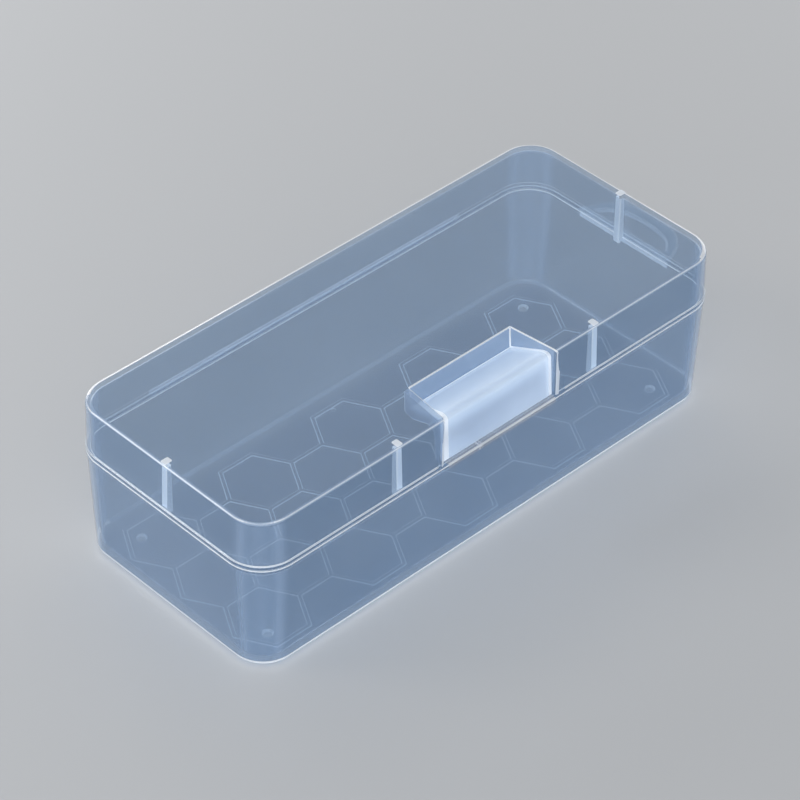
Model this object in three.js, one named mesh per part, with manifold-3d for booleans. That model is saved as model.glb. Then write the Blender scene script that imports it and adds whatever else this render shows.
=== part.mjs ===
// Long hinged-lid storage box, moulded in one shot from clear polypropylene.
// Three stiff pieces hang together on two thin moulded films: the tub, the lid on the back rim,
// and the latch flap on the front rim, which folds up over the lid and drops into its pocket.
// Millimetres, +Z up. The origin is the middle of the flat underside of the tub's floor.
// +X runs along the box to the end with the hang tab, and the latch is on the -Y side.

import * as THREE from 'three';
import { mergeVertices } from 'three/addons/utils/BufferGeometryUtils.js';
import Module from 'manifold-3d';

const wasm = await Module();
wasm.setup();

// Outer form, shared by the tub and the lid
const rimLength = 180;
const rimWidth = 78.1;
const rimCornerRadius = 12;
const cornerSteps = 9;
const overrun = 2;

// Tub
const tubHeight = 35.4;
const tubDraft = 1.47;
const tubCornerTaper = 1.95;
const tubWall = 1.3;
const tubFloor = 1.4;
const tubFloorEdge = 0.9;
const tubInnerEdge = 1.5;
const tubLipReach = 0.2;
const tubLipHeight = 1.1;

// Feet, gate mark and honeycomb on the tub's floor
const footRadius = 1.65;
const footHeight = 0.8;
const footEdge = 0.25;
const footInsetX = 14;
const footInsetY = 12.75;
const footSteps = 20;
const gateRadius = 0.75;
const gateHeight = 0.3;
const gateX = 1;
const gateInset = 8.75;
const cellPitchX = 17.9;
const cellPitchY = 21.2;
const cellLineWidth = 1.2;
const cellLineDepth = 0.22;
const cellColumns = 9;

// Hang tab on the tub's right-hand end
const tabReach = 13.1;
const tabHalfWidth = 17.7;
const tabThickness = 1.5;
const tabSlotInset = 2.5;
const tabSlotReach = 6.4;
const tabSlotHalfWidth = 13.9;
const tabRootReach = 1.3;
const tabRootDrop = 1.3;

// Lid
const partingGap = 0.3;
const lidHeight = 16.1;
const lidDraft = 0.68;
const lidCornerTaper = 1.3;
const lidWall = 1.2;
const lidTop = 1.3;
const lidTopEdge = 1.3;
const lidInnerEdge = 1;
const lidLipReach = 0.2;
const lidLipHeight = 1.2;

// Locating fins inside the lid, one on each end wall and two on the front wall
const finReach = 3.6;
const finThickness = 1.8;
const finEntry = 1.5;
const finEntryInset = 2.3;
const finRoot = 0.7;
const finX = 37.75;
const finChamfer = 0.9;

// Latch pocket sunk into the lid's front
const pocketReach = 17.05;
const pocketRearHalf = 19.4;
const pocketFrontHalf = 21.3;
const pocketMouthFlare = 1.6;
const pocketRearDrop = 6.5;
const pocketRearLean = 0.4;
const pocketRearRound = 1.1;
const pocketFootLength = 1.5;
const pocketRidgeInset = 7.35;
const pocketRidgeDrop = 4.6;
const pocketRidgeWidth = 0.5;
const pocketStepDrop = 1.1;
const pocketStepRun = 0.6;
const pocketFaceInset = 2.95;
const pocketShoulderRound = 1.2;
const pocketWall = 1.1;

// Latch flap, which leans like the pocket's front wall
const leanRun = 0.8;
const leanRise = 13.4;
const flapThickness = 1.05;
const flapFaceGap = 0.3;
const flapEndGap = 0.3;
const flapRearGap = 0.55;
const flapBottomGap = 0.4;
const flapKneeDrop = 1.7;
const flapRearTopDrop = 6.1;
const flapKneeInset = 4.9;
const flapKneeRound = 1.4;
const flapTipRound = 0.3;

// Moulded hinge films
const filmThickness = 0.3;
const filmSeat = 0.05;
const lidFilmLength = 120;
const lidFilmReach = 0.9;
const lidFilmHalfHeight = 1.15;
const lidFilmSteps = 8;
const lidAxisOffset = 0.35;
const latchFilmLength = 41.4;
const latchFilmDrop = 0.9;
const latchAxisInset = 0.45;
const latchAxisRise = 0.2;

// Places worked out from the sizes above
const frontY = -rimWidth / 2;
const backY = rimWidth / 2;
const endX = rimLength / 2;
const lidBottom = tubHeight + partingGap;
const boxTop = lidBottom + lidHeight;
const lean = leanRun / leanRise;

// One ring of a rounded rectangle, always with the same number of points.
function ring(length, width, radius, height) {
  const points = [];
  const r = Math.min(radius, length / 2, width / 2);
  const centres = [[1, 1], [-1, 1], [-1, -1], [1, -1]];
  centres.forEach(([sx, sy], quarter) => {
    for (let step = 0; step <= cornerSteps; step += 1) {
      const turn = (quarter + step / cornerSteps) * Math.PI / 2;
      points.push([
        sx * (length / 2 - r) + r * Math.cos(turn),
        sy * (width / 2 - r) + r * Math.sin(turn),
        height,
      ]);
    }
  });
  return points;
}

// A closed body through rings of equal point count, flat at both ends.
function loft(rings) {
  const count = rings[0].length;
  const positions = rings.flat(2);
  const index = [];
  for (let level = 0; level < rings.length - 1; level += 1) {
    for (let i = 0; i < count; i += 1) {
      const j = (i + 1) % count;
      const a = level * count + i;
      const b = level * count + j;
      index.push(a, b, b + count, a, b + count, a + count);
    }
  }
  const last = (rings.length - 1) * count;
  for (let i = 1; i < count - 1; i += 1) {
    index.push(0, i + 1, i);
    index.push(last, last + i, last + i + 1);
  }
  const geometry = new THREE.BufferGeometry();
  geometry.setAttribute('position', new THREE.Float32BufferAttribute(positions, 3));
  geometry.setIndex(index);
  return geometry;
}

// A three.js geometry as a solid that can be cut and joined.
function solid(geometry) {
  const plain = geometry.clone();
  plain.deleteAttribute('normal');
  plain.deleteAttribute('uv');
  const merged = mergeVertices(plain, filmThickness / 3000);
  return new wasm.Manifold(new wasm.Mesh({
    numProp: 3,
    vertProperties: new Float32Array(merged.attributes.position.array),
    triVerts: new Uint32Array(merged.index.array),
  }));
}

function shapeOf(points) {
  return new THREE.Shape(points.map(([a, b]) => new THREE.Vector2(a, b)));
}

// A flat outline in X and Y, raised from one height to another.
function prismZ(points, low, high) {
  const geometry = new THREE.ExtrudeGeometry(shapeOf(points), { depth: high - low, bevelEnabled: false });
  return solid(geometry.translate(0, 0, low));
}

// A profile in Y and Z, run along X between two places.
function prismX(points, low, high) {
  const geometry = new THREE.ExtrudeGeometry(shapeOf(points), { depth: high - low, bevelEnabled: false });
  geometry.applyMatrix4(new THREE.Matrix4().makeBasis(
    new THREE.Vector3(0, 1, 0), new THREE.Vector3(0, 0, 1), new THREE.Vector3(1, 0, 0)));
  return solid(geometry.translate(low, 0, 0));
}

// Points of a rounded corner between two walls, from one tangent point to the other.
function arc(centreA, centreB, radius, fromTurn, toTurn, steps) {
  const points = [];
  for (let step = 0; step <= steps; step += 1) {
    const turn = fromTurn + (toTurn - fromTurn) * step / steps;
    points.push([centreA + radius * Math.cos(turn), centreB + radius * Math.sin(turn)]);
  }
  return points;
}

// A ring that follows the drafted outer wall of the tub or lid, set in by a given amount.
function wallRing(height, lipIn, draft, span, taper, inset) {
  const climb = height / span;
  const inward = lipIn + draft * climb + inset;
  return [rimLength - 2 * inward, rimWidth - 2 * inward, rimCornerRadius - lipIn - taper * climb - inset];
}

// The tub's outer wall leans in towards the floor.
function tubRing(z, inset) {
  const [length, width, radius] = wallRing(tubHeight - z, tubLipReach, tubDraft, tubHeight, tubCornerTaper, inset);
  return ring(length, width, radius, z);
}

// The lid's outer wall leans in towards the top.
function lidRing(z, inset) {
  const [length, width, radius] = wallRing(z - lidBottom, lidLipReach, lidDraft, lidHeight, lidCornerTaper, inset);
  return ring(length, width, radius, z);
}

// Rings round a small edge radius, from the flat face to the wall, or back.
function edgeRings(makeRing, faceZ, direction, radius, inset) {
  const steps = 3;
  const rings = [];
  for (let step = 0; step <= steps; step += 1) {
    const turn = step / steps * Math.PI / 2;
    rings.push(makeRing(
      faceZ + direction * radius * (1 - Math.cos(turn)),
      inset + radius * (1 - Math.sin(turn))));
  }
  return direction > 0 ? rings : rings.reverse();
}

function buildTub() {
  const lipRing = (z) => ring(rimLength, rimWidth, rimCornerRadius, z);
  const outside = solid(loft([
    ...edgeRings(tubRing, 0, 1, tubFloorEdge, 0),
    tubRing(tubHeight - tubLipHeight - tubLipReach, 0),
    lipRing(tubHeight - tubLipHeight),
    lipRing(tubHeight),
  ]));
  const inside = solid(loft([
    ...edgeRings(tubRing, tubFloor, 1, tubInnerEdge, tubWall),
    tubRing(tubHeight, tubWall),
    tubRing(tubHeight + overrun, tubWall),
  ]));
  return outside.subtract(inside)
    .add(hangTab().subtract(inside))
    .add(feet())
    .subtract(honeycomb());
}

// The four places of the feet, counted in from the rim.
const footPlaces = [[-1, -1], [1, -1], [1, 1], [-1, 1]].map(([sx, sy]) => [
  sx * (endX - footInsetX), sy * (backY - footInsetY),
]);

// Round feet under the four corners and the small mark of the moulding gate.
function feet() {
  let all = null;
  for (const [x, y] of footPlaces) {
    const foot = new THREE.LatheGeometry([
      new THREE.Vector2(0, -footHeight),
      new THREE.Vector2(footRadius - footEdge, -footHeight),
      new THREE.Vector2(footRadius, -footHeight + footEdge),
      new THREE.Vector2(footRadius, tubFloor / 2),
      new THREE.Vector2(0, tubFloor / 2),
    ], footSteps);
    foot.rotateX(Math.PI / 2);
    const placed = solid(foot.translate(x, y, 0));
    all = all ? all.add(placed) : placed;
  }
  const gate = new THREE.CylinderGeometry(gateRadius, gateRadius, gateHeight + tubFloor / 2, footSteps / 2);
  gate.rotateX(Math.PI / 2);
  return all.add(solid(gate.translate(gateX, backY - gateInset, (tubFloor / 2 - gateHeight) / 2)));
}

// Shallow honeycomb lines cut into the underside of the floor: a net of hexagons with points left and right.
function honeycomb() {
  const hexagon = (halfLength, halfWidth) => [
    [halfLength, 0], [halfLength / 2, halfWidth], [-halfLength / 2, halfWidth],
    [-halfLength, 0], [-halfLength / 2, -halfWidth], [halfLength / 2, -halfWidth],
  ];
  const cellHalf = cellPitchX * 2 / 3;
  const band = cellLineWidth / 2;
  const bandAlong = band * 2 / Math.sqrt(3);
  const outer = hexagon(cellHalf + bandAlong, cellPitchY / 2 + band);
  const inner = hexagon(cellHalf - bandAlong, cellPitchY / 2 - band);
  const cell = shapeOf(outer);
  cell.holes.push(new THREE.Path(inner.map(([a, b]) => new THREE.Vector2(a, b))));
  const half = (cellColumns - 1) / 2;
  let net = null;
  for (let column = -half; column <= half; column += 1) {
    const rows = column % 2 === 0 ? [-1, 0, 1] : [-1 / 2, 1 / 2];
    for (const row of rows) {
      const line = new THREE.ExtrudeGeometry(cell, { depth: overrun + cellLineDepth, bevelEnabled: false });
      const placed = solid(line.translate(column * cellPitchX, row * cellPitchY, -overrun));
      net = net ? net.add(placed) : placed;
    }
  }
  for (const [x, y] of footPlaces) {
    const keep = new THREE.CylinderGeometry(footRadius + footEdge, footRadius + footEdge, overrun * 3, footSteps);
    keep.rotateX(Math.PI / 2);
    net = net.subtract(solid(keep.translate(x, y, 0)));
  }
  return net;
}

// Tab with a D-shaped slot, level with the rim, for hanging the closed box on a hook.
const tabDomeShare = [
  [0, 1], [0.2, 0.995], [0.4, 0.97], [0.6, 0.88], [0.75, 0.73], [0.87, 0.5], [0.95, 0.24], [1, 0],
];
const slotDomeShare = [
  [0, 1], [0.25, 0.985], [0.5, 0.9], [0.7, 0.72], [0.86, 0.43], [0.96, 0.16], [0.985, 0.05], [0.93, 0],
];

function domeOutline(shares, halfWidth, from, reach) {
  const right = shares.map(([across, out]) => [from + reach * out, halfWidth * across]);
  const left = shares.slice(1).map(([across, out]) => [from + reach * out, -halfWidth * across]).reverse();
  return [...left, ...right];
}

function hangTab() {
  const plate = domeOutline(tabDomeShare, tabHalfWidth, endX, tabReach);
  const inwardX = endX - tubLipReach - tubWall;
  plate.unshift([inwardX, -tabHalfWidth]);
  plate.push([inwardX, tabHalfWidth]);
  const slot = domeOutline(slotDomeShare, tabSlotHalfWidth, endX + tabSlotInset, tabSlotReach);
  const low = tubHeight - tabThickness;
  const flat = prismZ(plate, low, tubHeight)
    .subtract(prismZ(slot, low - overrun, tubHeight + overrun));
  // The root is a thicker strip with a sloping underside.
  const root = new THREE.ExtrudeGeometry(shapeOf([
    [inwardX, low - tabRootDrop], [endX, low - tabRootDrop],
    [endX + tabRootReach, low], [endX + tabRootReach, tubHeight], [inwardX, tubHeight],
  ]), { depth: 2 * tabHalfWidth, bevelEnabled: false });
  root.rotateX(Math.PI / 2).translate(0, tabHalfWidth, 0);
  return flat.add(solid(root));
}

function lidOutside() {
  const lipRing = (z) => ring(rimLength, rimWidth, rimCornerRadius, z);
  return solid(loft([
    lipRing(lidBottom),
    lipRing(lidBottom + lidLipHeight),
    lidRing(lidBottom + lidLipHeight + lidLipReach, 0),
    ...edgeRings(lidRing, boxTop, -1, lidTopEdge, 0),
  ]));
}

// Floor of the latch pocket as seen from the side: back wall, ramp, ridge, step and front wall.
const pocketBackY = frontY + pocketReach;
const pocketFootZ = boxTop - pocketRearDrop - pocketRearRound;
const ridgeY = frontY + pocketRidgeInset;
const ridgeZ = boxTop - pocketRidgeDrop;
const stepZ = ridgeZ - pocketStepDrop;
const shoulderZ = stepZ - pocketShoulderRound;
const faceY = (z) => frontY + pocketFaceInset + lean * (z - lidBottom);
const rampSlope = (ridgeZ - pocketFootZ)
  / (pocketBackY - pocketRearLean - pocketRearRound - pocketFootLength - ridgeY);

function pocketProfile() {
  const backFootY = pocketBackY - pocketRearLean;
  return [
    [pocketBackY + pocketRearLean * overrun / pocketRearDrop, boxTop + overrun],
    [backFootY, boxTop - pocketRearDrop],
    ...arc(backFootY - pocketRearRound, boxTop - pocketRearDrop, pocketRearRound, 0, -Math.PI / 2, 4).slice(1),
    [backFootY - pocketRearRound - pocketFootLength, pocketFootZ],
    [ridgeY, ridgeZ],
    [ridgeY - pocketRidgeWidth, ridgeZ],
    [ridgeY - pocketRidgeWidth - pocketStepRun, stepZ],
    ...arc(faceY(shoulderZ) + pocketShoulderRound, shoulderZ, pocketShoulderRound, Math.PI / 2, Math.PI, 4),
    [faceY(lidBottom - overrun), lidBottom - overrun],
    [frontY - overrun, lidBottom - overrun],
    [frontY - overrun, boxTop + overrun],
  ];
}

// The same profile seen from inside the lid, one wall thickness further in and without the small step.
function pocketInnerProfile() {
  const backFootY = pocketBackY - pocketRearLean + pocketWall;
  const footZ = pocketFootZ - pocketWall;
  return [
    [pocketBackY + pocketWall, boxTop],
    [backFootY, boxTop - pocketRearDrop],
    [backFootY - pocketRearRound, footZ],
    [backFootY - pocketWall - pocketRearRound - pocketFootLength, footZ],
    [ridgeY, ridgeZ - pocketWall - pocketRidgeWidth / 2],
    [faceY(shoulderZ) + pocketWall + pocketShoulderRound, stepZ - pocketWall],
    [faceY(shoulderZ) + pocketWall, shoulderZ],
    [faceY(lidBottom) + pocketWall, lidBottom],
    [frontY - overrun, lidBottom],
    [frontY - overrun, boxTop],
  ];
}

// The pocket in plan: ends that open slightly towards the front, with rounded mouth corners.
function pocketPlan(grow, flare) {
  const mouthY = frontY + lidLipReach + lidDraft / 2;
  const side = [
    [pocketRearHalf + grow, pocketBackY + overrun],
    [pocketRearHalf + grow, pocketBackY],
    ...arc(pocketFrontHalf + grow + flare, mouthY + flare, flare, Math.PI, Math.PI * 3 / 2, 4),
    [pocketFrontHalf + grow + flare, frontY - overrun],
  ];
  return [...side, ...side.map(([x, y]) => [-x, y]).reverse()];
}

function lidFins() {
  const finBottom = tubHeight - finEntry;
  const finTop = boxTop - lidTop / 2;
  const wallAt = lidLipReach + lidDraft / 2;
  const outline = [
    [wallAt + finRoot, finTop],
    [wallAt + finRoot, lidBottom + lidLipHeight / 2],
    [finEntryInset, tubHeight],
    [finEntryInset, finBottom],
    [finReach - finChamfer, finBottom],
    [finReach, finBottom + finChamfer],
    [finReach, finTop],
  ];
  const fin = (place, x, y) => {
    const geometry = new THREE.ExtrudeGeometry(shapeOf(outline), { depth: finThickness, bevelEnabled: false });
    geometry.translate(0, 0, -finThickness / 2);
    geometry.rotateX(Math.PI / 2).rotateZ(place);
    return solid(geometry.translate(x, y, 0));
  };
  return fin(Math.PI, endX, 0)
    .add(fin(0, -endX, 0))
    .add(fin(Math.PI / 2, -finX, frontY))
    .add(fin(Math.PI / 2, finX, frontY));
}

function buildLid() {
  const outside = lidOutside();
  const inside = solid(loft([
    lidRing(lidBottom - overrun, lidWall),
    ...edgeRings(lidRing, boxTop - lidTop, -1, lidInnerEdge, lidWall),
  ]));
  const widest = pocketFrontHalf + pocketMouthFlare + overrun;
  const sleeve = prismX(pocketInnerProfile(), -widest, widest)
    .intersect(prismZ(pocketPlan(pocketWall, pocketMouthFlare), lidBottom - overrun, boxTop + overrun));
  const pocket = prismX(pocketProfile(), -widest - overrun, widest + overrun)
    .intersect(prismZ(pocketPlan(0, pocketMouthFlare), lidBottom - 2 * overrun, boxTop + 2 * overrun));
  return outside.subtract(inside)
    .add(sleeve.intersect(outside))
    .add(lidFins())
    .subtract(pocket);
}

// The latch flap: a front plate that leans like the pocket's face, a rounded knee, and a tongue
// that slopes down behind the ridge to the pocket's back wall.
const flapBottomZ = tubHeight + flapBottomGap;
const flapInnerY = (z) => faceY(z) - flapFaceGap;
const flapOuterY = (z) => flapInnerY(z) - flapThickness;
const flapKneeZ = boxTop - flapKneeDrop;
const flapRearY = pocketBackY - pocketRearLean - flapRearGap;
const flapRearTopZ = boxTop - flapRearTopDrop;

function flapProfile() {
  const kneeBackY = frontY + flapKneeInset;
  const outerTopZ = flapKneeZ - flapKneeRound;
  const innerRound = flapKneeRound - flapKneeRound / 3;
  const slope = (flapKneeZ - flapRearTopZ) / (flapRearY - kneeBackY);
  const underAt = (y) => flapKneeZ - flapThickness - slope * (y - kneeBackY);
  const innerTopZ = flapKneeZ - flapThickness - innerRound;
  return [
    [flapInnerY(flapBottomZ), flapBottomZ],
    [flapInnerY(innerTopZ), innerTopZ],
    ...arc(flapInnerY(innerTopZ) + innerRound, innerTopZ, innerRound, Math.PI, Math.PI / 2, 4).slice(1),
    [kneeBackY + flapThickness / 2, underAt(kneeBackY + flapThickness / 2)],
    [flapRearY - flapTipRound, underAt(flapRearY - flapTipRound)],
    [flapRearY, underAt(flapRearY) + flapTipRound],
    [flapRearY, flapRearTopZ - flapTipRound],
    [flapRearY - flapTipRound, flapRearTopZ + slope * flapTipRound],
    [kneeBackY, flapKneeZ],
    ...arc(flapOuterY(outerTopZ) + flapKneeRound, outerTopZ, flapKneeRound, Math.PI / 2, Math.PI, 5),
    [flapOuterY(flapBottomZ), flapBottomZ],
  ].reverse();
}

function buildFlap() {
  const halfAt = (y) => pocketRearHalf - flapEndGap
    + (pocketFrontHalf - pocketRearHalf) * (pocketBackY - y) / (pocketReach - pocketFaceInset);
  const rear = pocketBackY + overrun;
  const front = frontY;
  const plan = [
    [halfAt(rear), rear], [-halfAt(rear), rear], [-halfAt(front), front], [halfAt(front), front],
  ];
  return prismX(flapProfile(), -rimLength / 4, rimLength / 4)
    .intersect(prismZ(plan, lidBottom - overrun, boxTop + overrun));
}

// Film that joins the lid to the tub: a thin loop bulging behind the closed rims.
const lidAxisZ = tubHeight + partingGap / 2;

function buildLidFilm() {
  const outer = [];
  const inner = [];
  const seatY = backY + filmSeat;
  for (let step = 0; step <= lidFilmSteps; step += 1) {
    const turn = -Math.PI / 2 + Math.PI * step / lidFilmSteps;
    outer.push([seatY + lidFilmReach * Math.cos(turn), lidAxisZ + lidFilmHalfHeight * Math.sin(turn)]);
    inner.push([
      seatY + (lidFilmReach - filmThickness) * Math.cos(turn),
      lidAxisZ + (lidFilmHalfHeight - filmThickness) * Math.sin(turn),
    ]);
  }
  return prismX([...outer, ...inner.reverse()], -lidFilmLength / 2, lidFilmLength / 2);
}

// Film that joins the flap to the tub: up the outside of the rim and in over it to the flap.
function buildLatchFilm() {
  const outY = frontY - filmSeat - filmThickness;
  const inY = frontY - filmSeat;
  const topZ = tubHeight + flapBottomGap + filmThickness / 2;
  const flapY = flapOuterY(topZ) - filmSeat * 2;
  return prismX([
    [inY, tubHeight - latchFilmDrop],
    [inY, topZ - filmThickness],
    [flapY, topZ - filmThickness],
    [flapY, topZ],
    [outY + filmThickness / 2, topZ],
    [outY, topZ - filmThickness / 2],
    [outY, tubHeight - latchFilmDrop],
  ].reverse(), -latchFilmLength / 2, latchFilmLength / 2);
}

function meshOf(name, body, colour, roughness, opacity) {
  const data = body.getMesh();
  const geometry = new THREE.BufferGeometry();
  const count = data.vertProperties.length / data.numProp;
  const positions = new Float32Array(count * 3);
  for (let i = 0; i < count; i += 1) {
    for (let axis = 0; axis < 3; axis += 1) {
      positions[i * 3 + axis] = data.vertProperties[i * data.numProp + axis];
    }
  }
  geometry.setAttribute('position', new THREE.BufferAttribute(positions, 3));
  geometry.setIndex(new THREE.BufferAttribute(new Uint32Array(data.triVerts), 1));
  geometry.computeVertexNormals();
  const material = new THREE.MeshStandardMaterial({
    color: colour, roughness, metalness: 0, transparent: opacity < 1, opacity,
  });
  const mesh = new THREE.Mesh(geometry, material);
  mesh.name = name;
  return mesh;
}

const box = new THREE.Group();
box.name = 'storage_box';

const tub = new THREE.Group();
tub.add(meshOf('base_tub', buildTub(), 0xc4d0dc, 0.22, 0.45));
tub.add(meshOf('lid_hinge_film', buildLidFilm(), 0xe2e9f0, 0.3, 0.6));
tub.add(meshOf('latch_hinge_film', buildLatchFilm(), 0xe2e9f0, 0.3, 0.6));

// The lid and the flap hang on groups that sit at their hinge lines.
const lidPivot = new THREE.Group();
lidPivot.position.set(0, backY + lidAxisOffset, lidAxisZ);
const lid = meshOf('lid_shell', buildLid(), 0xc4d0dc, 0.2, 0.45);
lid.position.copy(lidPivot.position).negate();
lidPivot.add(lid);

const latchPivot = new THREE.Group();
latchPivot.position.set(0, frontY + latchAxisInset, tubHeight + latchAxisRise);
const flap = meshOf('latch_flap', buildFlap(), 0xd6e0ea, 0.25, 0.7);
flap.position.copy(latchPivot.position).negate();
latchPivot.add(flap);

box.add(tub, lidPivot, latchPivot);

export default box;
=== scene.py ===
import math

import bmesh
import bpy
from mathutils import Matrix, Vector


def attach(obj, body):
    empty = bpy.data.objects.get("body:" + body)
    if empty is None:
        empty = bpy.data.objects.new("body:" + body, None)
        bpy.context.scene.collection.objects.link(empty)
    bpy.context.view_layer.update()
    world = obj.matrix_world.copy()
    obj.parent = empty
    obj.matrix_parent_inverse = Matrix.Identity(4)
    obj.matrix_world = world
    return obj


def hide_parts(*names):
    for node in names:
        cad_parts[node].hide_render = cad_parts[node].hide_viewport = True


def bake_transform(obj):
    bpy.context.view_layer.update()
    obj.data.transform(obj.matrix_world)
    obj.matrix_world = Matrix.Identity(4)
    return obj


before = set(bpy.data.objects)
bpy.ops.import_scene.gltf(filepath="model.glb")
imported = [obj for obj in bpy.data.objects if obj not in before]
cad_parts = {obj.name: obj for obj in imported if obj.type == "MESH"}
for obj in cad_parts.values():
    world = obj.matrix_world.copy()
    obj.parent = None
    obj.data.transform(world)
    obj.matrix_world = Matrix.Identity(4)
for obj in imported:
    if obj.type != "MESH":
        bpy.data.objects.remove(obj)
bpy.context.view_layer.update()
print("frame loaded")

millimetre = 0.001
rim = {"length": 180, "width": 78.1, "corner": 12, "leastCorner": 0.3, "cornerSteps": 16}
frontY, backY, endX = -rim["width"] / 2, rim["width"] / 2, rim["length"] / 2
overrun = 2  # how far a cutting tool passes the surface that it cuts
near = 0.1  # how close a face or an edge lies to the level or the plane that it belongs to
# Places of the finishes on every piece
clearFace, milkyFace, etchedFace, thickFace, ribFace, topFace = range(6)


# The photograph's view
cameraView = {
    "place": (-0.512937, -0.524879, 0.638208),
    "right": (0.722268, -0.691532, 0.010576),
    "up": (0.438513, 0.469722, 0.766204),
    "lens": 151.98,
    "sensor": 36,
    "clipStart": 0.05,
    "clipEnd": 20,
}


def addObject(name, data):
    item = bpy.data.objects.new(name, data)
    bpy.context.scene.collection.objects.link(item)
    return item


def addCamera(view):
    data = bpy.data.cameras.new("productCamera")
    data.lens, data.sensor_width = view["lens"], view["sensor"]
    data.clip_start, data.clip_end = view["clipStart"], view["clipEnd"]
    camera = addObject("productCamera", data)
    right, up = Vector(view["right"]).normalized(), Vector(view["up"]).normalized()
    turn = Matrix((right, up, right.cross(up))).transposed()
    camera.matrix_world = Matrix.Translation(view["place"]) @ turn.to_4x4()
    bpy.context.scene.camera = camera


addCamera(cameraView)


# What all the finishes of the plastic share
plastic = {
    "cloudDetail": 3,
    "scratchDetail": 4,
    "grainDetail": 2,
    "noiseLow": 0.3,
    "noiseHigh": 0.7,
    "slantBlend": 0.5,
    "bodyRoughness": 0.7,
    "hazeSwing": 0.08,
    "headOnMirror": 0.04,
    "glancePower": 5,
}


def wire(tree, source, target):
    tree.links.new(source, target)


def noiseOf(tree, spots, stretch, scale, detail):
    # Noise over the object's own coordinates, stretched along one axis where it should look drawn out
    mapping = tree.nodes.new("ShaderNodeMapping")
    mapping.inputs["Scale"].default_value = stretch
    wire(tree, spots, mapping.inputs["Vector"])
    noise = tree.nodes.new("ShaderNodeTexNoise")
    noise.inputs["Scale"].default_value = scale
    noise.inputs["Detail"].default_value = detail
    wire(tree, mapping.outputs["Vector"], noise.inputs["Vector"])
    return noise.outputs["Fac"]


def mathOf(tree, operation, first, second=None, third=None):
    node = tree.nodes.new("ShaderNodeMath")
    node.operation = operation
    for socket, value in zip(node.inputs, (first, second, third)):
        if value is None:
            continue
        if isinstance(value, (int, float)):
            socket.default_value = value
        else:
            wire(tree, value, socket)
    return node.outputs["Value"]


def rangeOf(tree, noise, low, high):
    # The noise's usual range, spread from low to high
    node = tree.nodes.new("ShaderNodeMapRange")
    ends = {"From Min": plastic["noiseLow"], "From Max": plastic["noiseHigh"], "To Min": low, "To Max": high}
    for name, number in ends.items():
        node.inputs[name].default_value = number
    wire(tree, noise, node.inputs["Value"])
    return node.outputs["Result"]


def mixOf(tree, share, first, second):
    node = tree.nodes.new("ShaderNodeMixShader")
    for socket, source in zip(node.inputs, (share, first, second)):
        wire(tree, source, socket)
    return node.outputs["Shader"]


def clearOf(tree, colour):
    node = tree.nodes.new("ShaderNodeBsdfTransparent")
    node.inputs["Color"].default_value = (*colour, 1)
    return node.outputs["BSDF"]


def tintOf(tree, look, clouds, paintedHighlightShare):
    # Cloudy from deep to pale, and whiter where the painted highlight share is high
    ramp = tree.nodes.new("ShaderNodeValToRGB")
    deep, pale = ramp.color_ramp.elements
    deep.position, pale.position = plastic["noiseLow"], plastic["noiseHigh"]
    deep.color, pale.color = (*look["deepTint"], 1), (*look["paleTint"], 1)
    wire(tree, clouds, ramp.inputs["Fac"])
    tint = tree.nodes.new("ShaderNodeMix")
    tint.data_type = "RGBA"
    tint.inputs[7].default_value = (*look["highlightTint"], 1)
    wire(tree, paintedHighlightShare, tint.inputs[0])
    wire(tree, ramp.outputs["Color"], tint.inputs[6])
    return tint.outputs[2]


def milkOf(tree, look, tint, bumps):
    # The haze in the plastic, which is lit from its front and shines through from behind
    body = tree.nodes.new("ShaderNodeBsdfPrincipled")
    body.inputs["Specular IOR Level"].default_value = 0
    body.inputs["Roughness"].default_value = plastic["bodyRoughness"]
    wire(tree, tint, body.inputs["Base Color"])
    wire(tree, bumps, body.inputs["Normal"])
    glow = tree.nodes.new("ShaderNodeBsdfTranslucent")
    wire(tree, tint, glow.inputs["Color"])
    # Light comes from above, so a face that looks down shows mostly what shines through it.
    facing = tree.nodes.new("ShaderNodeSeparateXYZ")
    wire(tree, tree.nodes.new("ShaderNodeNewGeometry").outputs["Normal"], facing.inputs["Vector"])
    down = mathOf(tree, "MAXIMUM", mathOf(tree, "MULTIPLY", facing.outputs["Z"], -1), 0)
    glowShare = mathOf(tree, "MULTIPLY_ADD", down, look["downGlow"], look["glow"])
    return mixOf(tree, glowShare, body.outputs["BSDF"], glow.outputs["BSDF"])


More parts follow.
